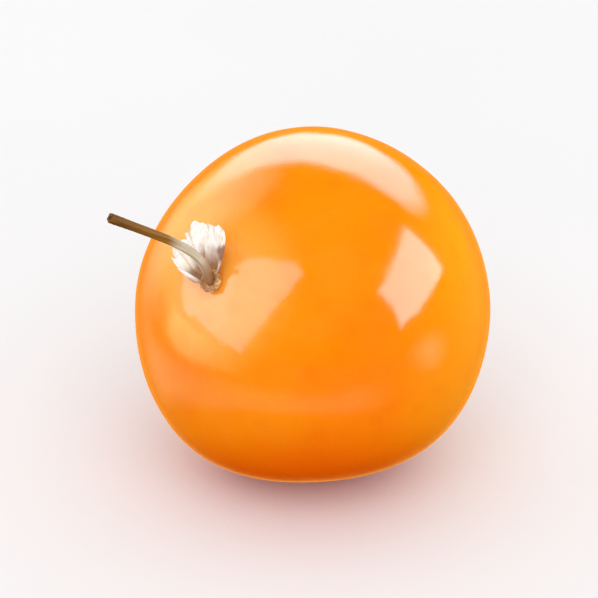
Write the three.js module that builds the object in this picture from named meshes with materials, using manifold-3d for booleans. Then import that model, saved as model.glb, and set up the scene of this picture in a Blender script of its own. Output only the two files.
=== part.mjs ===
// A physalis berry out of its husk, with its dry stalk and the torn base of the husk.
// Millimetres, +Z up. The fruit is built upright, stalk end up, round the berry's centre, and is then
// tipped over on its side. The origin is the middle of the flat spot that it rests on.
import * as THREE from "three";
import { mergeVertices } from "three/addons/utils/BufferGeometryUtils.js";
import Module from "manifold-3d";

const wasm = await Module();
wasm.setup();

// Berry
const BERRY_DIAMETER = 19; // at its widest
const BERRY_HEIGHT = 18.4; // from pole to pole, before the hollow and the navel are pressed in
const HOLLOW_DEPTH = 0.15; // hollow that the stalk stands in
const HOLLOW_RADIUS = 1.4;
const NAVEL_DEPTH = 0.22; // scar of the blossom, at the other pole
const NAVEL_RADIUS = 0.95;
const NUB_HEIGHT = 0.16; // hard nub in the navel
const NUB_RADIUS = 0.32;
const FLAT_DEPTH = 0.3; // how deep the resting spot is cut into the round skin

// Gentle bulges and flats of a fruit grown against its husk: where each lies on the upright fruit, in
// degrees round the stalk and down from it, and how far its middle stands out from the plain round
const BULGES = [
  { azimuth: -14, polar: 74, rise: 0.34 },
  { azimuth: 65, polar: 125, rise: 0.2 },
  { azimuth: 22, polar: 102, rise: -0.28 },
  { azimuth: 202, polar: 78, rise: 0.12 },
  { azimuth: 245, polar: 56, rise: -0.14 },
];
const BULGE_SPREAD = 26; // degrees

// How the fruit lies
const TILT = 57.5; // degrees that the stalk end leans over from upright
const HEADING = 227.7; // degrees from +X, the way that it leans

// Torn husk base: a button with a ragged ruff round the stalk
const BASE_RADIUS = 2.05;
const BASE_HEIGHT = 1.4;
const RUFF_LOBES = 5;
const RUFF_TEAR = 0.95; // how far the tears between the lobes cut in
const RUFF_SAG = 0.45; // how much lower the ruff is at a tear
const RUFF_SHORTEST = 0.8; // share of the full length, for the shortest lobe
const RUFF_SHORT_SIDE = 0.4; // further share, on the side away from the tall one
const TALL_SIDE = 225; // degrees round the stalk, the side where the ruff is longest
const RUFF_SEED = 7;
const SOCKET_RADIUS = 0.8; // hole that the stalk stands in
const SOCKET_FLOOR = 0.35; // above the bottom of the base
const BASE_LIFT = 0.2; // of the base over the hollow's floor, so that it clears the hollow's rising side
const FOOT_LIFT = 0.15; // of the stalk's foot over the socket's floor

// Stalk
const STALK_HEIGHT = 8.0; // reach above the hollow, along the fruit's own axis
const STALK_LEAN = 1.3; // how far it steps aside, in the hook just above its foot
const STALK_LEAN_START = 0.45; // height over the hollow's floor where the hook starts
const STALK_LEAN_HEIGHT = 1.1;
const STALK_LEAN_SLOPE = 0.035; // how much it goes on leaning above the hook
const STALK_DRIFT = 1.75; // how far its tip wanders to the other side
const STALK_DRIFT_POWER = 1.7;
const STALK_FOOT_RADIUS = 0.35;
const STALK_MIDDLE_RADIUS = 0.3;
const STALK_TIP_RADIUS = 0.34;
const STALK_LEVEL = 0.08; // share of its length over which its level foot turns with the hook
const STALK_RIDGES = 5;
const STALK_RIDGE = 0.1; // share of the radius

// Fineness of the meshes
const BERRY_SIDES = 60;
const BERRY_ROWS = 44;
const POLE_CROWDING = 0.35; // how much closer the rows lie at the poles
const BASE_SIDES = 60;
const STALK_SIDES = 20;
const STALK_ROWS = 16;

const skin = new THREE.MeshStandardMaterial({ color: 0xfb8a0e, roughness: 0.22, metalness: 0 });
const paper = new THREE.MeshStandardMaterial({ color: 0xf3e3cf, roughness: 0.8, metalness: 0 });
const bark = new THREE.MeshStandardMaterial({ color: 0x6f5024, roughness: 0.7, metalness: 0 });

const { degToRad, lerp, smoothstep } = THREE.MathUtils;
const Z_AXIS = new THREE.Vector3(0, 0, 1);

function directionOf({ azimuth, polar }) {
  // Vector3's spherical angles are measured from +Y, so its y and z change places here
  const turned = new THREE.Vector3().setFromSphericalCoords(1, degToRad(polar), degToRad(90 - azimuth));
  return new THREE.Vector3(turned.x, turned.z, turned.y);
}

const bulges = BULGES.map((bulge) => ({ middle: directionOf(bulge), rise: bulge.rise }));

// Distance from the berry's centre to its skin along a unit direction of the upright fruit
function skinRadius(direction) {
  const across = Math.hypot(direction.x, direction.y);
  const round = 1 / Math.hypot(across / (BERRY_DIAMETER / 2), direction.z / (BERRY_HEIGHT / 2));
  const spread = 1 - Math.cos(degToRad(BULGE_SPREAD));
  const bulged = bulges.reduce(
    (sum, { middle, rise }) => sum + rise * Math.exp((direction.dot(middle) - 1) / spread),
    0,
  );
  const fromAxis = (BERRY_DIAMETER / 2) * across;
  const dent = (radius) => 1 - smoothstep(fromAxis, 0, radius);
  const pressed = direction.z > 0
    ? HOLLOW_DEPTH * dent(HOLLOW_RADIUS)
    : NAVEL_DEPTH * dent(NAVEL_RADIUS) - NUB_HEIGHT * dent(NUB_RADIUS);
  return round + bulged - pressed;
}

// Moves every point of a geometry, and leaves it with positions alone, its shared points merged
function reshape(geometry, move) {
  const bare = geometry.clone();
  bare.deleteAttribute("normal");
  bare.deleteAttribute("uv");
  const merged = mergeVertices(bare);
  const points = merged.getAttribute("position");
  const point = new THREE.Vector3();
  for (let i = 0; i < points.count; i += 1) {
    point.fromBufferAttribute(points, i);
    move(point);
    points.setXYZ(i, point.x, point.y, point.z);
  }
  return merged;
}

function toManifold(geometry) {
  return new wasm.Manifold(new wasm.Mesh({
    numProp: 3,
    vertProperties: geometry.getAttribute("position").array,
    triVerts: Uint32Array.from(geometry.index.array),
  }));
}

function toGeometry(solid) {
  const mesh = solid.getMesh();
  const geometry = new THREE.BufferGeometry();
  geometry.setAttribute("position", new THREE.BufferAttribute(mesh.vertProperties, 3));
  geometry.setIndex(new THREE.BufferAttribute(mesh.triVerts, 1));
  geometry.computeVertexNormals();
  return geometry;
}

// How the fruit is placed: tipped over, with the flat spot under its centre at z = 0
const fruit = new THREE.Group();
fruit.rotation.set(0, degToRad(TILT), degToRad(HEADING), "ZYX");
const straightDown = Z_AXIS.clone().negate().applyQuaternion(fruit.quaternion.clone().invert());
fruit.position.z = skinRadius(straightDown) - FLAT_DEPTH;
fruit.updateMatrixWorld(true);

function berryGeometry() {
  const ball = new THREE.SphereGeometry(1, BERRY_SIDES, BERRY_ROWS);
  ball.rotateX(Math.PI / 2);
  const round = reshape(ball, (point) => {
    const polar = Math.acos(THREE.MathUtils.clamp(point.z, -1, 1));
    const crowded = polar - POLE_CROWDING * Math.sin(2 * polar);
    const azimuth = Math.atan2(point.y, point.x);
    point.set(Math.sin(crowded) * Math.cos(azimuth), Math.sin(crowded) * Math.sin(azimuth), Math.cos(crowded));
    point.multiplyScalar(skinRadius(point));
  });

  // The surface that it rests on, as a block below z = 0, seen from the tipped fruit
  const below = new THREE.BoxGeometry(2 * BERRY_DIAMETER, 2 * BERRY_DIAMETER, BERRY_DIAMETER);
  below.translate(0, 0, -BERRY_DIAMETER / 2);
  const block = reshape(below, (point) => fruit.worldToLocal(point));
  return toGeometry(toManifold(round).subtract(toManifold(block)));
}

// A body of revolution round Z, from a profile of [distance from the axis, height] that starts and ends
// on the axis, from the bottom up
function turned(profile, sides) {
  const points = profile.map(([across, height]) => new THREE.Vector2(across, height));
  const geometry = new THREE.LatheGeometry(points, sides);
  geometry.rotateX(Math.PI / 2);
  return geometry;
}

// Small repeatable random numbers between 0 and 1
function makeRandom(seed) {
  let state = seed;
  return () => {
    state = (state * 16807) % 2147483647;
    return state / 2147483647;
  };
}

const hollowFloor = skinRadius(Z_AXIS);

// Sideways place of the stalk's middle line at a height above the hollow's floor
function stalkLean(height) {
  const above = Math.max(height - STALK_LEAN_START, 0);
  return -STALK_LEAN * (1 - Math.exp(-above / STALK_LEAN_HEIGHT)) - STALK_LEAN_SLOPE * above;
}

function stalkDrift(height) {
  return -STALK_DRIFT * (height / STALK_HEIGHT) ** STALK_DRIFT_POWER;
}

function huskBaseGeometry() {
  const profile = [
    [0, 0],
    [0.5 * BASE_RADIUS, 0],
    [0.66 * BASE_RADIUS, 0.12 * BASE_HEIGHT],
    [0.82 * BASE_RADIUS, 0.32 * BASE_HEIGHT],
    [0.95 * BASE_RADIUS, 0.58 * BASE_HEIGHT],
    [BASE_RADIUS, 0.8 * BASE_HEIGHT],
    [0.96 * BASE_RADIUS, 0.94 * BASE_HEIGHT],
    [0.86 * BASE_RADIUS, BASE_HEIGHT],
    [0.7 * BASE_RADIUS, 0.92 * BASE_HEIGHT],
    [0.54 * BASE_RADIUS, 0.72 * BASE_HEIGHT],
    [0.42 * BASE_RADIUS, 0.56 * BASE_HEIGHT],
    [SOCKET_RADIUS, 0.48 * BASE_HEIGHT],
    [SOCKET_RADIUS, SOCKET_FLOOR],
    [0, SOCKET_FLOOR],
  ];
  const random = makeRandom(RUFF_SEED);
  const lobes = Array.from({ length: RUFF_LOBES }, () => lerp(RUFF_SHORTEST, 1, random()));
  const tall = degToRad(TALL_SIDE);
  return reshape(turned(profile, BASE_SIDES), (point) => {
    const across = Math.hypot(point.x, point.y);
    const azimuth = Math.atan2(point.y, point.x);
    const turn = ((azimuth / (2 * Math.PI) + 1) * RUFF_LOBES) % RUFF_LOBES;
    const lobe = Math.floor(turn);
    const middle = Math.sqrt(Math.sin(Math.PI * (turn - lobe)));
    const full = lobes[lobe] * middle * lerp(RUFF_SHORT_SIDE, 1, (1 + Math.cos(azimuth - tall)) / 2);
    const loose = smoothstep(across, 0.42 * BASE_RADIUS, BASE_RADIUS);
    const scale = across > 0 ? (across - loose * (1 - full) * RUFF_TEAR) / across : 1;
    point.x *= scale;
    point.y *= scale;
    point.z -= loose * (1 - full) * RUFF_SAG;
    point.z += BASE_LIFT;
    point.x += stalkLean(point.z);
    point.z += hollowFloor;
  });
}

function stalkRadius(share) {
  const foot = STALK_FOOT_RADIUS - STALK_MIDDLE_RADIUS;
  const tip = STALK_TIP_RADIUS - STALK_MIDDLE_RADIUS;
  return STALK_MIDDLE_RADIUS + foot * (1 - smoothstep(share, 0, 0.3)) + tip * smoothstep(share, 0.75, 1);
}

function stalkGeometry() {
  const footHeight = BASE_LIFT + SOCKET_FLOOR + FOOT_LIFT;
  const heights = Array.from({ length: 9 }, (_, i) => lerp(footHeight, STALK_HEIGHT, i / 8));
  const line = new THREE.CatmullRomCurve3(
    heights.map((height) => new THREE.Vector3(stalkLean(height), stalkDrift(height), hollowFloor + height)),
  );
  const length = line.getLength();
  const shares = Array.from({ length: STALK_ROWS + 1 }, (_, i) => i / STALK_ROWS);
  const profile = [[0, 0], ...shares.map((share) => [stalkRadius(share), share * length]), [0, length]];

  return reshape(turned(profile, STALK_SIDES), (point) => {
    const share = THREE.MathUtils.clamp(point.z / length, 0, 1);
    const ridge = 1 + STALK_RIDGE * Math.cos(STALK_RIDGES * Math.atan2(point.y, point.x));
    // the foot stands level in its socket, and the rest is square to the middle line
    const along = Z_AXIS.clone().lerp(line.getTangentAt(share), smoothstep(share, 0, STALK_LEVEL)).normalize();
    const side = new THREE.Vector3(1, 0, 0).addScaledVector(along, -along.x).normalize();
    const other = along.clone().cross(side);
    const middle = line.getPointAt(share);
    middle.addScaledVector(side, ridge * point.x).addScaledVector(other, ridge * point.y);
    point.copy(middle);
  });
}

function addPiece(name, geometry, material) {
  const piece = new THREE.Mesh(geometry, material);
  piece.name = name;
  fruit.add(piece);
}

addPiece("berry", berryGeometry(), skin);
addPiece("husk_base", huskBaseGeometry(), paper);
addPiece("stalk", stalkGeometry(), bark);

const physalis = new THREE.Group();
physalis.add(fruit);

export default physalis;
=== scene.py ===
"""A physalis berry out of its husk, with its dry stalk, on a pale floor in soft studio light."""
import math
import random

import bpy
import numpy as np
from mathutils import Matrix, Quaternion, Vector


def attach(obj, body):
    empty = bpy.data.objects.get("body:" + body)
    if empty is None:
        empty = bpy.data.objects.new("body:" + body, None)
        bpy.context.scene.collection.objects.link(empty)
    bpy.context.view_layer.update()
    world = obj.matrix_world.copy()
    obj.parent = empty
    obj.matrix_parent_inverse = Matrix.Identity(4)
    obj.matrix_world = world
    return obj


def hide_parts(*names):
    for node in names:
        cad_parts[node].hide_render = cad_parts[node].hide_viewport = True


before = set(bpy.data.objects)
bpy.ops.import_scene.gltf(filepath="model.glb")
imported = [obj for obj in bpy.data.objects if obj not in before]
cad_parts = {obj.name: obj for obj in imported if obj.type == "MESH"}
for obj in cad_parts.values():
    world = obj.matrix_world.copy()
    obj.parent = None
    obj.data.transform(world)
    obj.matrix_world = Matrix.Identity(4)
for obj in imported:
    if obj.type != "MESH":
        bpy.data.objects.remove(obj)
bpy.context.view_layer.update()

MM = 0.001

# ---------------------------------------------------------------- sizes
# Every piece is modelled upright, stalk end up, round the berry's centre, and then laid on its side.

TILT = math.radians(57.5)  # how far the stalk end leans over
HEADING = math.radians(227.7)  # which way it leans, from +X
CENTRE_HEIGHT = 9.041 * MM  # of the berry's centre above the floor

BERRY_RADIUS = 9.5 * MM
BERRY_HALF_HEIGHT = 9.2 * MM
BERRY_SEGMENTS = 256
BERRY_RINGS = 160

# Bulges and flats: degrees round the stalk, degrees down from it, and how far the skin stands out
BULGES = [
    (-14, 74, 0.34 * MM),
    (65, 125, 0.20 * MM),
    (22, 102, -0.28 * MM),
    (202, 78, 0.12 * MM),
    (245, 56, -0.14 * MM),
]
BULGE_REACH = 7.6 * MM
WAVE_LENGTH = 5.0 * MM  # of the slow waves in the skin
WAVE_RISE = 0.10 * MM

HOLLOW_DEPTH = 0.15 * MM
HOLLOW_REACH = 1.4 * MM
HOLLOW_FLOOR = BERRY_HALF_HEIGHT - HOLLOW_DEPTH

# Puckers that run out of the hollow. The pairs are the least and the most, in millimetres.
PUCKERS = 10
PUCKER_START = 0.7 * MM
PUCKER_END = (1.3, 1.9)
PUCKER_DEPTH = (0.010, 0.022)
PUCKER_REACH = (0.5, 0.65)
PUCKER_LINE = 0.05 * MM  # half the width of the line that is pressed in

NAVEL_DEPTH = 0.22 * MM
NAVEL_REACH = 0.95 * MM
LIP_RADIUS = 1.05 * MM  # of the low lip round the navel
LIP_HALF_WIDTH = 0.1 * MM
LIP_RISE = 0.04 * MM
LIP_REACH = 0.5 * MM
NUB_HEIGHT = 0.16 * MM
NUB_REACH = 0.32 * MM

BUTTON_RADIUS = 0.62 * MM
BUTTON_HEIGHT = 0.38 * MM
BUTTON_SUNK = 0.04 * MM  # how far its foot goes into the skin
BUTTON_RIBS = 10
BUTTON_RIB = 0.08  # share of the radius
BUTTON_UNEVEN = 0.02 * MM
SHOULDER_WIDTH = 0.10 * MM  # of each of the two steps from its rim to its socket
SHOULDER_RISE = 0.07 * MM
SOCKET_DEPTH = 0.14 * MM
SOCKET_MIDDLE = 0.2 * MM  # how far inside the socket its floor's inner ring lies

RUFF_ROOT = 0.48 * MM  # distance from the axis to where the paper starts
RUFF_FOOT = 0.22 * MM  # height of that root over the hollow's floor
RUFF_RADIUS = 2.15 * MM
RUFF_HEIGHT = 1.5 * MM
RUFF_LOBES = 6
RUFF_TALL_SIDE = math.radians(225)  # round the stalk, where it stands tall
RUFF_TALL_REACH = math.radians(58)  # to either side
RUFF_TORN_AWAY = math.radians(82)  # from here on only a stub of it is left
RUFF_STUB = 0.05  # share of the full size
LOBE_COLUMNS = 33
LOBE_ROWS = 23
LOBE_HALF_WIDTH = (38, 46)  # least and most, in degrees round the stalk
LOBE_TAPER = 0.15  # these four are shares of a lobe's width or length
LOBE_ROUNDING = 0.34
LOBE_RAGGED = 0.10
TEAR_DEPTH = (0.12, 0.38)
LOBE_TEARS = 3
LOBE_WAVE = 0.09 * MM
LOBE_RIPPLE = 0.05 * MM
LOBE_CUP = 0.14 * MM  # how far its sides curl in
PAPER = 0.07 * MM
CRUMPLE_LENGTH = 0.35 * MM
CRUMPLE_RISE = 0.05 * MM

STALK_SIDES = 40
STALK_RINGS = 90
STALK_RIDGES = 5
STALK_RIDGE = 0.11  # share of the radius
STALK_UNEVEN = 0.012 * MM
STALK_TWIST = math.radians(0.7)  # from ring to ring
STALK_START = 0.15 * MM  # height of its foot over the hollow's floor
STALK_HEIGHT = 8.0 * MM
STALK_LEAN = 1.3 * MM  # the hook just above its foot
STALK_LEAN_START = 0.45 * MM
STALK_LEAN_HEIGHT = 1.1 * MM
STALK_LEAN_SLOPE = 0.035  # how much it goes on leaning above the hook
STALK_DRIFT = 1.75 * MM  # how far its tip wanders to the other side
STALK_DRIFT_POWER = 1.7
STALK_FOOT = 0.26 * MM  # these three are its radius
STALK_MIDDLE = 0.225 * MM
STALK_TIP = 0.255 * MM
BARK = 0.09 * MM  # thickness of the rim at the cut end
PITH_DEPTH = 0.07 * MM  # how far the pith lies sunken in it
PITH_EDGE = 0.08 * MM  # width of the sloping edge of the pith
PITH_CROWN = 0.03 * MM

# Directions on the upright fruit, and a place on it in millimetres
# the side painted lighter and yellower: painted light on the berry's side towards +X
PAINTED_LIGHT_SIDE = (-0.36, 0.74, -0.57)
# the side painted darker and redder: painted shade on the berry's underside, towards the front
PAINTED_SHADE_SIDE = (0.93, 0.34, -0.15)
BROWN_CORNER = (-1.62, 0.54, 9.85)

# Studio, in metres and degrees
FLOOR_SIZE = 4
FLOOR_DROP = 0.005 * MM  # keeps the floor clear of the flat spot
CAMERA_DISTANCE = 0.4
CAMERA_ELEVATION = 30
CAMERA_LENS = 455  # this and the sensor are in millimetres
CAMERA_SENSOR = 36
CAMERA_TARGET = Vector((-0.7 * MM, 0, 9.6 * MM))
BERRY_CENTRE = Vector((0, 0, CENTRE_HEIGHT))

chance = random.Random(11)


# ---------------------------------------------------------------- modelling by hand

def select_only(piece):
    """Leaves edit mode and makes the piece the only one chosen."""
    if bpy.context.object and bpy.context.object.mode != "OBJECT":
        bpy.ops.object.mode_set(mode="OBJECT")
    bpy.ops.object.select_all(action="DESELECT")
    piece.select_set(True)
    bpy.context.view_layer.objects.active = piece


def places(piece):
    """The piece's points, one row each."""
    numbers = np.empty(len(piece.data.vertices) * 3)
    piece.data.vertices.foreach_get("co", numbers)
    return numbers.reshape(-1, 3)


def put(piece, points):
    """Moves the piece's points to new places."""
    piece.data.vertices.foreach_set("co", points.ravel())
    piece.data.update()


def pick(piece, chosen):
    """Goes into edit mode with only the chosen points selected."""
    select_only(piece)
    mesh = piece.data
    mesh.polygons.foreach_set("select", np.zeros(len(mesh.polygons), bool))
    mesh.edges.foreach_set("select", np.zeros(len(mesh.edges), bool))
    mesh.vertices.foreach_set("select", chosen)
    bpy.ops.object.mode_set(mode="EDIT")
    bpy.ops.mesh.select_mode(type="VERT")


def pick_all(piece):
    pick(piece, np.ones(len(piece.data.vertices), bool))


def pull(piece, chosen, move, reach):
    """Moves the chosen points, and the surface round them less and less, out to the reach."""
    pick(piece, chosen)
    bpy.ops.transform.translate(
        value=move,
        use_proportional_edit=True,
        proportional_edit_falloff="SMOOTH",
        proportional_size=reach,
    )
    bpy.ops.object.mode_set(mode="OBJECT")


def nearest(piece, place):
    """Chooses the one point that is nearest to a place."""
    gaps = np.linalg.norm(places(piece) - np.array(place), axis=1)
    return gaps == gaps.min()


def named(name):
    """The primitive that was added last, under its own name."""
    piece = bpy.context.object
    piece.name = name
    piece.data.name = name
    return piece


def finish_modifier(piece, modifier):
    select_only(piece)
    bpy.ops.object.modifier_apply(modifier=modifier.name)


def ripple(piece, name, size, strength):
    """Uneven swellings of a size over the whole surface."""
    waves = bpy.data.textures.new(name, "CLOUDS")
    waves.noise_scale = size
    modifier = piece.modifiers.new(name, "DISPLACE")
    modifier.texture = waves
    modifier.texture_coords = "LOCAL"
    modifier.strength = strength
    finish_modifier(piece, modifier)


def smooth_surface(piece, levels):
    modifier = piece.modifiers.new("fine", "SUBSURF")
    modifier.levels = levels
    modifier.render_levels = levels
    finish_modifier(piece, modifier)


def lay_down(piece):
    """Tips the upright piece over to where the fruit lies, and puts that into its mesh."""
    select_only(piece)
    piece.rotation_euler = (0, TILT, HEADING)
    piece.location = (0, 0, CENTRE_HEIGHT)
    bpy.ops.object.transform_apply(location=True, rotation=True, scale=True)
    bpy.ops.object.shade_smooth()


def on_fruit(azimuth, polar, radius=BERRY_RADIUS):
    """A place on the upright fruit, by degrees round the stalk and degrees down from it."""
    round_stalk, down = math.radians(azimuth), math.radians(polar)
    across = math.sin(down)
    return radius * Vector((across * math.cos(round_stalk), across * math.sin(round_stalk), math.cos(down)))


def step(value, start, end):
    """Goes smoothly from 0 to 1 as the value goes from start to end."""
    share = np.clip((value - start) / (end - start), 0, 1)
    return share * share * (3 - 2 * share)


# ---------------------------------------------------------------- finishes

def paint(code):
    """A colour code as Blender's linear colour."""
    shares = [int(code[i:i + 2], 16) / 255 for i in (1, 3, 5)]
    return (*[s / 12.92 if s <= 0.04045 else ((s + 0.055) / 1.055) ** 2.4 for s in shares], 1)


class Nodes:
    """Short calls that add nodes to a material or to the room."""

    def __init__(self, tree):
        self.tree = tree

    def node(self, kind, inputs=(), **settings):
        node = self.tree.nodes.new(kind)
        for setting, value in settings.items():
            setattr(node, setting, value)
        for socket, value in dict(inputs).items():
            self.feed(node.inputs[socket], value)
        return node

    def feed(self, socket, value):
        if isinstance(value, bpy.types.NodeSocket):
            self.tree.links.new(value, socket)
        else:
            socket.default_value = value

    def math(self, operation, *values):
        return self.node("ShaderNodeMath", enumerate(values), operation=operation).outputs[0]

    def times(self, first, second):
        return self.math("MULTIPLY", first, second)

    def times_plus(self, first, second, third):
        return self.math("MULTIPLY_ADD", first, second, third)

    def reach(self, x, y):
        """How far a place is from the middle, from its two distances."""
        return self.math("SQRT", self.math("ADD", self.times(x, x), self.times(y, y)))

    def vector_math(self, operation, *values, output="Vector"):
        node = self.node("ShaderNodeVectorMath", enumerate(values), operation=operation)
        return node.outputs[output]

    def towards(self, vector, direction):
        """How far the vector reaches in a direction."""
        return self.vector_math("DOT_PRODUCT", vector, direction, output="Value")

    def split(self, vector):
        return self.node("ShaderNodeSeparateXYZ", {0: vector}).outputs

    def join(self, x, y, z):
        return self.node("ShaderNodeCombineXYZ", {0: x, 1: y, 2: z}).outputs[0]

    def noise(self, vector, scale, detail=3.0, roughness=0.5):
        """Cloudy unevenness from 0 to 1."""
        node = self.node("ShaderNodeTexNoise", {
            "Vector": vector,
            "Scale": scale,
            "Detail": detail,
            "Roughness": roughness,
        })
        return node.outputs[0]

    def cells(self, vector, scale, feature="F1"):
        """Distance to the nearest of scattered dots, or to the edges between them."""
        node = self.node("ShaderNodeTexVoronoi", {"Vector": vector, "Scale": scale}, feature=feature)
        return node.outputs["Distance"]

    def fade(self, value, start, end, low=0.0, high=1.0):
        """Goes smoothly from low to high as the value goes from start to end."""
        node = self.node("ShaderNodeMapRange", {
            0: value, 1: start, 2: end, 3: low, 4: high,
        }, interpolation_type="SMOOTHSTEP")
        return node.outputs[0]

    def mix(self, share, first, second):
        """The first colour, with a share of the second over it."""
        node = self.node("ShaderNodeMix", {0: share, 6: first, 7: second}, data_type="RGBA")
        return node.outputs[2]


class Finish(Nodes):
    """A material for one kind of surface."""

    def __init__(self, name, **sockets):
        self.material = bpy.data.materials.new(name)
        self.material.use_nodes = True
        super().__init__(self.material.node_tree)
        self.shader = self.tree.nodes["Principled BSDF"]
        for socket, value in sockets.items():
            self.shader.inputs[socket.replace("_", " ")].default_value = value

    def upright(self):
        """Places on the upright fruit, in millimetres from the berry's centre."""
        here = self.node("ShaderNodeTexCoord").outputs["Object"]
        turned = self.node("ShaderNodeMapping", {
            "Vector": here,
            "Location": (0, 0, CENTRE_HEIGHT),
            "Rotation": (0, TILT, HEADING),
            "Scale": (MM, MM, MM),
        }, vector_type="TEXTURE")
        return turned.outputs["Vector"]

    def set(self, socket, value):
        self.feed(self.shader.inputs[socket], value)

    def bump(self, height, distance):
        """Low relief, as high as the distance where the height is 1."""
        node = self.node("ShaderNodeBump", {"Height": height, "Distance": distance, "Strength": 1.0})
        self.set("Normal", node.outputs[0])


def berry_finish():
    """Waxy orange skin, pale round the stalk; painted light makes one side yellower, painted shade the
    underside and navel end redder.
    """
    skin = Finish(
        "berry skin",
        IOR=1.45,
        Subsurface_Weight=0.45,
        Subsurface_Radius=(1.0, 0.32, 0.06),
        Subsurface_Scale=1.6 * MM,
    )
    place = skin.upright()
    outward = skin.vector_math("NORMALIZE", place)
    x, y, z = skin.split(place)
    rise = skin.split(outward)[2]
    from_axis = skin.reach(x, y)

    # ripeness: broad patches of yellower and redder orange, and over them painted light and painted shade
    # on set sides
    patches = skin.noise(place, scale=0.16, detail=2.0)
    ripeness_with_painted_light_and_shade = skin.mix(skin.fade(patches, 0.35, 0.65), paint("#eb8202"), paint("#e97801"))
    # painted shade: darker, redder orange towards the navel end, which lies low and to the back
    painted_shade_towards_navel = skin.fade(rise, 0.4, -0.6)
    ripeness_with_painted_light_and_shade = skin.mix(skin.times(painted_shade_towards_navel, 0.4), ripeness_with_painted_light_and_shade, paint("#e86900"))
    # painted light: lighter, yellower orange on the side that lies towards +X once the berry is laid down
    painted_light_share = skin.fade(skin.towards(outward, PAINTED_LIGHT_SIDE), 0.35, 0.85)
    ripeness_with_painted_light_and_shade = skin.mix(painted_light_share, ripeness_with_painted_light_and_shade, paint("#ea8c03"))
    # painted shade: darker, redder orange on the underside that faces the floor and the front
    painted_shade_share = skin.fade(skin.towards(outward, PAINTED_SHADE_SIDE), 0.6, 0.97)
    ripeness_with_painted_light_and_shade = skin.mix(skin.times(painted_shade_share, 0.85), ripeness_with_painted_light_and_shade, paint("#dd5600"))

    # fine veins that run from the stalk to the navel, like lines of longitude
    around_x, around_y, _ = skin.split(skin.vector_math("NORMALIZE", skin.join(x, y, 0.0)))
    lengthwise = skin.join(around_x, around_y, skin.times(z, 0.035))
    veins = skin.noise(lengthwise, scale=11.0, detail=4.0, roughness=0.6)
    vein_strength = skin.times_plus(skin.fade(rise, 0.15, 0.85), 0.04, 0.03)
    vein_share = skin.times(skin.fade(veins, 0.52, 0.72), vein_strength)
    colour = skin.mix(vein_share, ripeness_with_painted_light_and_shade, paint("#eda23c"))

    # pale halo round the hollow
    halo = skin.fade(skin.times_plus(veins, 0.03, rise), 0.85, 0.99)
    colour = skin.mix(skin.times(halo, 0.5), colour, paint("#f0ae50"))

    # seeds showing faintly through, and small pale specks
    seeds = skin.fade(skin.cells(place, scale=0.62), 0.42, 0.10)
    colour = skin.mix(skin.times(seeds, 0.10), colour, paint("#d85a00"))
    specks = skin.fade(skin.cells(place, scale=1.9), 0.11, 0.04)
    colour = skin.mix(skin.times(specks, 0.16), colour, paint("#ffc873"))

    # the navel: a pale ring round a dark nub
    below = skin.fade(z, 0.0, -1.0)
    ring = skin.times(skin.fade(from_axis, 1.35, 0.35), below)
    colour = skin.mix(skin.times(ring, 0.5), colour, paint("#efb868"))
    nub = skin.times(skin.fade(from_axis, 0.30, 0.16), below)
    colour = skin.mix(nub, colour, paint("#6b4a1c"))
    skin.set("Base Color", colour)

    wax = skin.noise(place, scale=0.55, detail=4.0)
    skin.set("Roughness", skin.fade(wax, 0.3, 0.75, 0.08, 0.13))
    skin.bump(skin.noise(place, scale=3.2), 0.006 * MM)
    return skin.material


def stalk_finish():
    """Dry fibres: pale where the husk kept them covered, dark brown towards the cut tip."""
    dry = Finish("dry stalk", Roughness=0.62, IOR=1.4, Specular_IOR_Level=0.2)
    straight = dry.node("ShaderNodeAttribute", attribute_name="straight").outputs["Vector"]
    x, y, z = dry.split(straight)
    lengthwise = dry.join(x, y, dry.times(z, 0.07))
    fibres = dry.noise(lengthwise, scale=7.0, detail=4.0, roughness=0.65)
    height = dry.times_plus(dry.noise(straight, scale=1.1), 1.0, z)
    bare = dry.fade(height, 3.7, 5.0)
    colour = dry.mix(bare, paint("#b3a78e"), paint("#7c5410"))
    colour = dry.mix(dry.fade(height, 5.0, 8.5), colour, paint("#563604"))

    streak = dry.mix(bare, paint("#d9cfba"), paint("#96640c"))
    colour = dry.mix(dry.times(dry.fade(fibres, 0.45, 0.68), 0.45), colour, streak)
    groove = dry.mix(bare, paint("#75654a"), paint("#32220a"))
    colour = dry.mix(dry.times(dry.fade(fibres, 0.48, 0.30), 0.60), colour, groove)

    brown_foot = dry.fade(height, 2.3, 1.1, 0.0, 0.85)
    colour = dry.mix(brown_foot, colour, paint("#8a5424"))
    dry.set("Base Color", colour)
    dry.set("Roughness", dry.fade(fibres, 0.3, 0.7, 0.5, 0.75))
    dry.bump(fibres, 0.03 * MM)
    return dry.material


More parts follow.
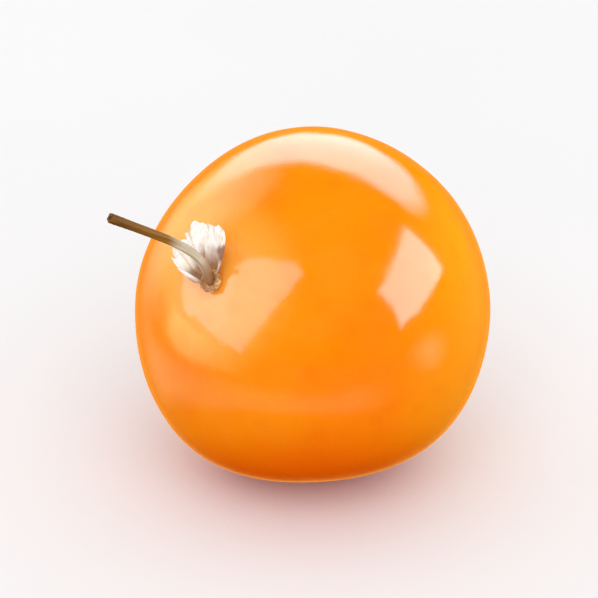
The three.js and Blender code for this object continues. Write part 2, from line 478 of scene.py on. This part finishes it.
def paper_finish():
    """Torn husk paper: cream, with tan ribs, a net of fine veins, browned edges and a brown foot."""
    paper = Finish(
        "husk paper",
        IOR=1.4,
        Subsurface_Weight=0.15,
        Subsurface_Radius=(1.0, 0.9, 0.8),
        Subsurface_Scale=0.1 * MM,
    )
    across, along, _ = paper.split(paper.node("ShaderNodeUVMap", uv_map="UVMap").outputs[0])
    place = paper.upright()
    cloud = paper.noise(place, scale=1.6, detail=4.0)
    colour = paper.mix(paper.fade(cloud, 0.35, 0.7), paint("#ffffff"), paint("#fbf3e6"))

    # veins: a fine net, and a rib to either side of each lobe's middle
    spread = paper.join(paper.times(across, 9.0), paper.times(along, 6.0), 0.0)
    net = paper.fade(paper.cells(spread, scale=1.0, feature="DISTANCE_TO_EDGE"), 0.09, 0.01)
    colour = paper.mix(paper.times(net, 0.25), colour, paint("#e2c69a"))
    off_middle = paper.math("ABSOLUTE", paper.math("SUBTRACT", across, 0.5))
    off_rib = paper.math("ABSOLUTE", paper.math("SUBTRACT", off_middle, 0.22))
    rib = paper.fade(off_rib, 0.035, 0.008)
    colour = paper.mix(paper.times(rib, 0.4), colour, paint("#d3ad7a"))

    # browned torn edges, and one corner painted quite brown
    edge = paper.times_plus(cloud, 0.35, along)
    colour = paper.mix(paper.fade(edge, 1.12, 1.30, 0.0, 0.6), colour, paint("#b98a50"))
    off_corner = paper.vector_math("DISTANCE", place, BROWN_CORNER, output="Value")
    off_corner = paper.times_plus(cloud, 0.6, off_corner)
    colour = paper.mix(paper.fade(off_corner, 1.0, 0.6, 0.0, 0.9), colour, paint("#7c4c20"))

    height = paper.times_plus(cloud, 0.4, paper.split(place)[2])
    foot = paper.fade(height, HOLLOW_FLOOR / MM + 1.1, HOLLOW_FLOOR / MM + 0.6)
    colour = paper.mix(paper.times(foot, 0.92), colour, paint("#9c6428"))
    paper.set("Base Color", colour)
    paper.set("Roughness", paper.fade(cloud, 0.3, 0.7, 0.62, 0.8))
    paper.bump(paper.times_plus(net, 0.5, rib), 0.03 * MM)
    return paper.material


def button_finish():
    """The corky button that husk and stalk grow from."""
    cork = Finish("corky button", Roughness=0.7, IOR=1.4)
    place = cork.upright()
    grain = cork.noise(place, scale=4.0, detail=4.0, roughness=0.65)
    colour = cork.mix(cork.fade(grain, 0.35, 0.65), paint("#dcae6c"), paint("#b07c3c"))
    pits = cork.fade(cork.cells(place, scale=6.0), 0.35, 0.1)
    colour = cork.mix(cork.times(pits, 0.5), colour, paint("#7c5226"))
    cork.set("Base Color", colour)
    cork.bump(grain, 0.05 * MM)
    return cork.material


def floor_finish():
    """Plain pale floor, without a shine."""
    pale = Finish("pale floor", Roughness=0.8, Specular_IOR_Level=0.0)
    here = pale.node("ShaderNodeTexCoord").outputs["Object"]
    cloud = pale.noise(here, scale=18.0, detail=2.0)
    pale.set("Base Color", pale.mix(pale.fade(cloud, 0.3, 0.7), paint("#e2e2e3"), paint("#dfdfe0")))
    return pale.material


# ---------------------------------------------------------------- pieces

def grow_berry():
    """A ball, flattened a little, bulged, pressed in at both poles, tipped over and set down."""
    bpy.ops.mesh.primitive_uv_sphere_add(
        segments=BERRY_SEGMENTS, ring_count=BERRY_RINGS, radius=BERRY_RADIUS,
    )
    berry = named("berry_skin")
    pick_all(berry)
    bpy.ops.transform.resize(value=(1, 1, BERRY_HALF_HEIGHT / BERRY_RADIUS), center_override=(0, 0, 0))
    bpy.ops.object.mode_set(mode="OBJECT")
    for azimuth, polar, rise in BULGES:
        way = on_fruit(azimuth, polar, 1)
        pull(berry, nearest(berry, on_fruit(azimuth, polar)), rise * way, BULGE_REACH)
    ripple(berry, "slow_waves", WAVE_LENGTH, WAVE_RISE)

    # the hollow that the stalk stands in, with shallow puckers that run out of it
    top = (0, 0, BERRY_HALF_HEIGHT)
    pull(berry, nearest(berry, top), (0, 0, -HOLLOW_DEPTH), HOLLOW_REACH)
    for k in range(PUCKERS):
        azimuth = (k + chance.uniform(-0.25, 0.25)) * 2 * math.pi / PUCKERS
        points = places(berry)
        along = points[:, 0] * math.cos(azimuth) + points[:, 1] * math.sin(azimuth)
        aside = points[:, 1] * math.cos(azimuth) - points[:, 0] * math.sin(azimuth)
        end = chance.uniform(*PUCKER_END) * MM
        line = (points[:, 2] > 0) & (along > PUCKER_START) & (along < end) & (abs(aside) < PUCKER_LINE)
        depth = chance.uniform(*PUCKER_DEPTH) * MM
        pull(berry, line, (0, 0, -depth), chance.uniform(*PUCKER_REACH) * MM)

    # the navel: a shallow pit with a low lip round it and a hard nub in it
    points = places(berry)
    from_axis = np.hypot(points[:, 0], points[:, 1])
    lip = (points[:, 2] < 0) & (abs(from_axis - LIP_RADIUS) < LIP_HALF_WIDTH)
    pull(berry, lip, (0, 0, -LIP_RISE), LIP_REACH)
    bottom = (0, 0, -BERRY_HALF_HEIGHT)
    pull(berry, nearest(berry, bottom), (0, 0, NAVEL_DEPTH), NAVEL_REACH)
    pull(berry, nearest(berry, bottom), (0, 0, -NUB_HEIGHT), NUB_REACH)

    # it rests on a flat spot: all that would be below the floor is pressed up to it
    lay_down(berry)
    pick(berry, places(berry)[:, 2] < 0)
    bpy.ops.transform.resize(value=(1, 1, 0), center_override=(0, 0, 0))
    bpy.ops.object.mode_set(mode="OBJECT")
    return berry


def stalk_lean(height):
    """How far the stalk's middle line has stepped aside at heights above the hollow's floor."""
    above = np.maximum(height - STALK_LEAN_START, 0)
    return -STALK_LEAN * (1 - np.exp(-above / STALK_LEAN_HEIGHT)) - STALK_LEAN_SLOPE * above


def stalk_line(height):
    """The stalk's middle line at heights above the hollow's floor, one row each."""
    drift = -STALK_DRIFT * (np.maximum(height, 0) / STALK_HEIGHT) ** STALK_DRIFT_POWER
    return np.column_stack((stalk_lean(height), drift, HOLLOW_FLOOR + height))


def stalk_radius(share):
    """The stalk's radius at a share of its length."""
    foot = (STALK_FOOT - STALK_MIDDLE) * (1 - step(share, 0.03, 0.3))
    tip = (STALK_TIP - STALK_MIDDLE) * step(share, 0.8, 1)
    return STALK_MIDDLE + foot + tip


def draw_stalk():
    """A ridged ring, drawn out straight ring by ring, a little twisted, cut off and bent to its line."""
    radius = stalk_radius(0)
    bpy.ops.mesh.primitive_circle_add(
        vertices=STALK_SIDES, radius=radius, location=(0, 0, 0), fill_type="NGON",
    )
    stalk = named("dry_stalk")
    points = places(stalk)
    around = np.arctan2(points[:, 1], points[:, 0])
    points[:, :2] *= (1 + STALK_RIDGE * np.cos(STALK_RIDGES * around))[:, None]
    put(stalk, points)
    pick_all(stalk)
    bpy.ops.transform.vertex_random(offset=STALK_UNEVEN, seed=4)
    bpy.ops.transform.translate(value=(0, 0, STALK_START))
    bpy.ops.mesh.select_mode(type="FACE")
    bpy.ops.mesh.select_all(action="SELECT")
    rise = (STALK_HEIGHT - STALK_START) / STALK_RINGS
    for i in range(1, STALK_RINGS + 1):
        here = (0, 0, STALK_START + i * rise)
        bpy.ops.mesh.extrude_region_move(TRANSFORM_OT_translate={"value": (0, 0, rise)})
        uneven = 1 + 0.02 * math.sin(i * 1.7) + chance.uniform(-0.012, 0.012)
        grown = stalk_radius(i / STALK_RINGS) * uneven
        bpy.ops.transform.resize(value=(grown / radius, grown / radius, 1), center_override=here)
        bpy.ops.transform.rotate(value=STALK_TWIST, orient_axis="Z", center_override=here)
        radius = grown

    # the cut end: a rim of bark round a sunken pith
    bpy.ops.mesh.inset(thickness=BARK)
    bpy.ops.transform.translate(value=(0, 0, -PITH_DEPTH))
    bpy.ops.mesh.inset(thickness=PITH_EDGE)
    bpy.ops.transform.translate(value=(0, 0, PITH_CROWN))
    bpy.ops.mesh.poke()
    bpy.ops.mesh.select_all(action="SELECT")
    bpy.ops.mesh.normals_make_consistent(inside=False)
    bpy.ops.object.mode_set(mode="OBJECT")

    # bent to its line, with every ring square to it; the finish still finds each point's straight place
    points = places(stalk)
    straight = stalk.data.attributes.new("straight", "FLOAT_VECTOR", "POINT")
    straight.data.foreach_set("vector", (points / MM).ravel())
    height = points[:, 2]
    line = stalk_line(height)
    little = 0.02 * MM
    along = stalk_line(height + little) - stalk_line(height - little)
    along /= np.linalg.norm(along, axis=1)[:, None]
    side = np.array((1.0, 0, 0)) - along * along[:, :1]
    side /= np.linalg.norm(side, axis=1)[:, None]
    put(stalk, line + side * points[:, :1] + np.cross(along, side) * points[:, 1:2])
    smooth_surface(stalk, 1)
    lay_down(stalk)
    return stalk


def turn_button():
    """A squat ribbed button on the hollow's floor, with a socket for the stalk."""
    bpy.ops.mesh.primitive_cylinder_add(
        vertices=4 * BUTTON_RIBS, radius=BUTTON_RADIUS, depth=BUTTON_HEIGHT,
        location=(0, 0, HOLLOW_FLOOR + BUTTON_HEIGHT / 2 - BUTTON_SUNK),
    )
    button = named("husk_button")
    bpy.ops.object.transform_apply(location=True)
    bpy.ops.object.mode_set(mode="EDIT")
    bpy.ops.mesh.select_mode(type="FACE")
    bpy.ops.mesh.select_all(action="DESELECT")
    bpy.ops.object.mode_set(mode="OBJECT")
    for face in button.data.polygons:
        face.select = face.normal.z > 0.9
    bpy.ops.object.mode_set(mode="EDIT")
    # its top: a raised shoulder round the socket
    bpy.ops.mesh.inset(thickness=SHOULDER_WIDTH)
    bpy.ops.transform.translate(value=(0, 0, SHOULDER_RISE))
    bpy.ops.mesh.inset(thickness=SHOULDER_WIDTH)
    bpy.ops.mesh.extrude_region_move(TRANSFORM_OT_translate={"value": (0, 0, -SOCKET_DEPTH)})
    bpy.ops.mesh.inset(thickness=SOCKET_MIDDLE)
    bpy.ops.object.mode_set(mode="OBJECT")

    # ribs, deepest at its rim
    points = places(button)
    around = np.arctan2(points[:, 1], points[:, 0])
    rim = np.hypot(points[:, 0], points[:, 1]) / BUTTON_RADIUS
    points[:, :2] *= (1 + BUTTON_RIB * rim ** 2 * np.cos(BUTTON_RIBS * around))[:, None]
    put(button, points)
    pick_all(button)
    bpy.ops.transform.vertex_random(offset=BUTTON_UNEVEN, seed=8)
    bpy.ops.object.mode_set(mode="OBJECT")
    smooth_surface(button, 2)
    lay_down(button)
    return button


def torn_edge():
    """How far each column of a lobe reaches: rounded, ragged, with a few deep tears."""
    reach = []
    ragged = 0.0
    for i in range(LOBE_COLUMNS):
        across = 2 * i / (LOBE_COLUMNS - 1) - 1
        ragged = 0.5 * ragged + chance.uniform(-LOBE_RAGGED, LOBE_RAGGED)
        reach.append(1 - LOBE_ROUNDING * abs(across) ** 4 + ragged)
    for _ in range(LOBE_TEARS):
        tear = chance.randrange(2, LOBE_COLUMNS - 2)
        depth = chance.uniform(*TEAR_DEPTH)
        reach[tear] -= depth
        reach[tear + chance.choice((-1, 1))] -= 0.4 * depth
    return np.array(reach)


def ruff_size(azimuth):
    """Share of its full size that the ruff has, on each side of the stalk."""
    off_tall = np.abs((azimuth - RUFF_TALL_SIDE + math.pi) % (2 * math.pi) - math.pi)
    torn = step(off_tall, RUFF_TALL_REACH, RUFF_TORN_AWAY)
    return RUFF_STUB + (1 - RUFF_STUB) * (1 - torn)


def tear_lobe(number):
    """One lobe of torn husk paper, flaring up and out round the stalk."""
    bpy.ops.mesh.primitive_grid_add(x_subdivisions=LOBE_COLUMNS - 1, y_subdivisions=LOBE_ROWS - 1, size=1)
    lobe = named(f"lobe_{number}")
    points = places(lobe)
    across = 2 * points[:, 0]
    along = points[:, 1] + 0.5
    column = np.rint((points[:, 0] + 0.5) * (LOBE_COLUMNS - 1)).astype(int)
    middle = RUFF_TALL_SIDE + 2 * math.pi * (number + chance.uniform(-0.15, 0.15)) / RUFF_LOBES
    along = along * torn_edge()[column] * chance.uniform(0.92, 1.04)

    half_width = math.radians(chance.uniform(*LOBE_HALF_WIDTH))
    azimuth = middle + half_width * across * (1 - LOBE_TAPER * along ** 2)
    size = ruff_size(middle + half_width * across)
    phase = chance.uniform(0, 6)
    wave = LOBE_WAVE * np.sin(5.5 * across + phase) * along
    wave += LOBE_RIPPLE * np.sin(13 * across + 2 * phase) * along
    cup = LOBE_CUP * across ** 2 * along
    open_out = size * chance.uniform(0.9, 1.05)
    arch = np.sin(0.5 * math.pi * np.clip(along, 0, 1.15))
    flare = RUFF_ROOT + (RUFF_RADIUS - RUFF_ROOT) * open_out * arch
    height = RUFF_FOOT + (RUFF_HEIGHT - RUFF_FOOT) * (0.1 + 0.9 * size) * along ** 1.25
    flare = flare - wave - cup
    height = height + 0.6 * wave + cup
    put(lobe, np.column_stack((
        flare * np.cos(azimuth) + stalk_lean(height),
        flare * np.sin(azimuth),
        HOLLOW_FLOOR + height,
    )))
    return lobe


def tear_ruff():
    """The lobes as one piece, given the thickness of paper and crumpled."""
    lobes = [tear_lobe(number) for number in range(RUFF_LOBES)]
    select_only(lobes[0])
    for lobe in lobes[1:]:
        lobe.select_set(True)
    bpy.ops.object.join()
    ruff = named("husk_ruff")
    sheet = ruff.modifiers.new("paper", "SOLIDIFY")
    sheet.thickness = PAPER
    sheet.offset = 0
    finish_modifier(ruff, sheet)
    smooth_surface(ruff, 1)
    ripple(ruff, "crumple", CRUMPLE_LENGTH, CRUMPLE_RISE)
    lay_down(ruff)
    return ruff


def dress(piece, material, node):
    """Gives a piece its finish, hangs it on the root body and hides the CAD node it stands in for."""
    piece.data.materials.clear()
    piece.data.materials.append(material)
    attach(piece, "root")
    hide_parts(node)


dress(grow_berry(), berry_finish(), "berry")
dress(draw_stalk(), stalk_finish(), "stalk")
dress(turn_button(), button_finish(), "husk_base")
dress(tear_ruff(), paper_finish(), "husk_base")


# ---------------------------------------------------------------- studio

def from_object(bearing, elevation, distance):
    """A place seen from the object: bearing 0 is its front, 90 its right, 180 its back."""
    turn, lift = math.radians(bearing), math.radians(elevation)
    flat = distance * math.cos(lift)
    return Vector((flat * math.sin(turn), -flat * math.cos(turn), distance * math.sin(lift)))


def aim(thing, target, roll=0):
    """Turns a lamp or camera to face a place, rolled by some degrees."""
    thing.rotation_mode = "QUATERNION"
    rolled = Quaternion((0, 0, 1), math.radians(roll))
    thing.rotation_quaternion = (target - thing.location).to_track_quat("-Z", "Y") @ rolled


def softbox(name, bearing, elevation, distance, size, brightness, colour,
            roll=0, shape="RECTANGLE", edge=0.1, foot=1.0, side=1.0, cut=False):
    """A soft light that faces the berry, dimmer towards its edge. Size is its width and height.

    Foot and side are the shares of its brightness at its lower edge and at its +X edge, and cut
    covers its upper -X corner, down to a slanting line.
    """
    light = bpy.data.lights.new(name, "AREA")
    light.shape = shape
    light.size, light.size_y = size
    light.energy = brightness * math.pi * size[0] * size[1]
    light.color = paint(colour)[:3]
    light.use_nodes = True
    glow = Nodes(light.node_tree)
    spot = glow.node("ShaderNodeNewGeometry").outputs["Parametric"]
    across, along, _ = glow.split(spot)
    off_centre = glow.vector_math("ABSOLUTE", glow.vector_math("SUBTRACT", spot, (0.5, 0.5, 0)))
    sideways, upwards, _ = glow.split(off_centre)
    if shape == "ELLIPSE":
        off_middle = glow.reach(sideways, upwards)
    else:
        off_middle = glow.math("MAXIMUM", sideways, upwards)
    strength = glow.fade(off_middle, 0.5, 0.5 - edge / 2)
    strength = glow.times(strength, glow.times_plus(along, 1 - foot, foot))
    strength = glow.times(strength, glow.fade(across, 0.45, 1.0, 1.0, side))
    if cut:
        past_corner = glow.times_plus(across, -1.1, along)
        strength = glow.times(strength, glow.fade(past_corner, 0.2, 0.08))
    glow.feed(light.node_tree.nodes["Emission"].inputs["Strength"], strength)
    lamp = bpy.data.objects.new(name, light)
    bpy.context.scene.collection.objects.link(lamp)
    lamp.location = from_object(bearing, elevation, distance) + BERRY_CENTRE
    aim(lamp, BERRY_CENTRE, roll)
    lamp.visible_camera = False
    return lamp


def lay_floor():
    bpy.ops.mesh.primitive_plane_add(size=FLOOR_SIZE, location=(0, 0, -FLOOR_DROP))
    floor = named("floor")
    floor.data.materials.append(floor_finish())
    floor.visible_glossy = False


def hang_lamps():
    """Lamps that are only seen mirrored, and a key light that is never seen mirrored."""
    mirrored = (
        softbox("left_window", bearing=-66.4, elevation=33, distance=0.5, size=(0.633, 0.729),
                brightness=5.2, colour="#ffe4fc", roll=-10.4, edge=0.12, foot=0.8, cut=True),
        softbox("left_sill", bearing=-77.1, elevation=-13, distance=0.6, size=(0.74, 0.20),
                brightness=2.7, colour="#ffd898", roll=0.3, edge=0.4, side=0.4),
        softbox("right_window", bearing=77.4, elevation=25.5, distance=0.5, size=(0.51, 0.30),
                brightness=9.6, colour="#fff2ff", roll=7, edge=0.16),
        softbox("back_panel", bearing=174.6, elevation=27, distance=0.7, size=(1.52, 0.63),
                brightness=6.4, colour="#eaeeff", roll=-15.7, shape="ELLIPSE",
                edge=0.4, foot=0.5, side=0.1),
        softbox("left_glow", bearing=-134, elevation=16, distance=0.8, size=(1.1, 1.7),
                brightness=5.2, colour="#ffe6c0", shape="ELLIPSE", edge=0.8, foot=0.1),
        softbox("right_glow", bearing=120, elevation=0, distance=0.8, size=(1.2, 1.2),
                brightness=0.8, colour="#ffd24e", shape="ELLIPSE", edge=0.8),
        softbox("low_glow", bearing=76, elevation=-15, distance=0.8, size=(0.60, 0.36),
                brightness=2.4, colour="#ffd8c0", roll=-23, shape="ELLIPSE", edge=1.0),
    )
    for lamp in mirrored:
        lamp.visible_diffuse = False
    key_light = softbox("key_light", bearing=5, elevation=40, distance=1.0, size=(1.1, 1.1),
                        brightness=1.15, colour="#ffffff")
    key_light.visible_glossy = False


def warm_room(room):
    """What the skin mirrors where no lamp is: its colour and strength, by direction."""
    way = room.node("ShaderNodeTexCoord").outputs["Generated"]
    height = room.split(way)[2]
    low = room.mix(room.fade(height, -0.5, -0.95), paint("#ffab4c"), paint("#7a3000"))
    colour = room.mix(room.fade(height, -0.2, 0.0), low, paint("#ffd21c"))

    # a pale band below the horizon, on the left and front
    band = room.times(room.fade(height, -0.34, -0.50), room.fade(height, -0.70, -0.58))
    band = room.times(band, room.fade(room.towards(way, (0.7, 0.7, 0)), 0.2, -0.3))
    colour = room.mix(band, colour, paint("#ffe6ae"))

    # a pale wall on the left
    wall = room.fade(room.towards(way, (-0.99, -0.08, 0.12)), 0.82, 0.98)
    colour = room.mix(wall, colour, paint("#ffdcac"))
    strength = room.times_plus(room.math("MAXIMUM", wall, room.times(band, 0.3)), 1.6, 1.2)
    return colour, strength


def light_room():
    """White to the camera and as a soft light from all round, warm where the skin mirrors it."""
    world = bpy.data.worlds.new("room")
    world.use_nodes = True
    world.node_tree.nodes.clear()
    bpy.context.scene.world = world
    room = Nodes(world.node_tree)

    def glow(colour, strength):
        return room.node("ShaderNodeBackground", {"Color": colour, "Strength": strength}).outputs[0]

    def choose(ray, otherwise, then):
        share = room.node("ShaderNodeLightPath").outputs[ray]
        return room.node("ShaderNodeMixShader", {0: share, 1: otherwise, 2: then}).outputs[0]

    lit = choose("Is Glossy Ray", glow(paint("#ffffff"), 1.1), glow(*warm_room(room)))
    seen = choose("Is Camera Ray", lit, glow(paint("#f9f9fb"), 1.0))
    room.node("ShaderNodeOutputWorld", {"Surface": seen})


def set_camera():
    lens = bpy.data.cameras.new("camera")
    lens.lens = CAMERA_LENS
    lens.sensor_width = CAMERA_SENSOR
    camera = bpy.data.objects.new("camera", lens)
    bpy.context.scene.collection.objects.link(camera)
    camera.location = CAMERA_TARGET + from_object(0, CAMERA_ELEVATION, CAMERA_DISTANCE)
    aim(camera, CAMERA_TARGET)
    bpy.context.scene.camera = camera


lay_floor()
hang_lamps()
light_room()
set_camera()
bpy.context.scene.view_settings.view_transform = "Standard"
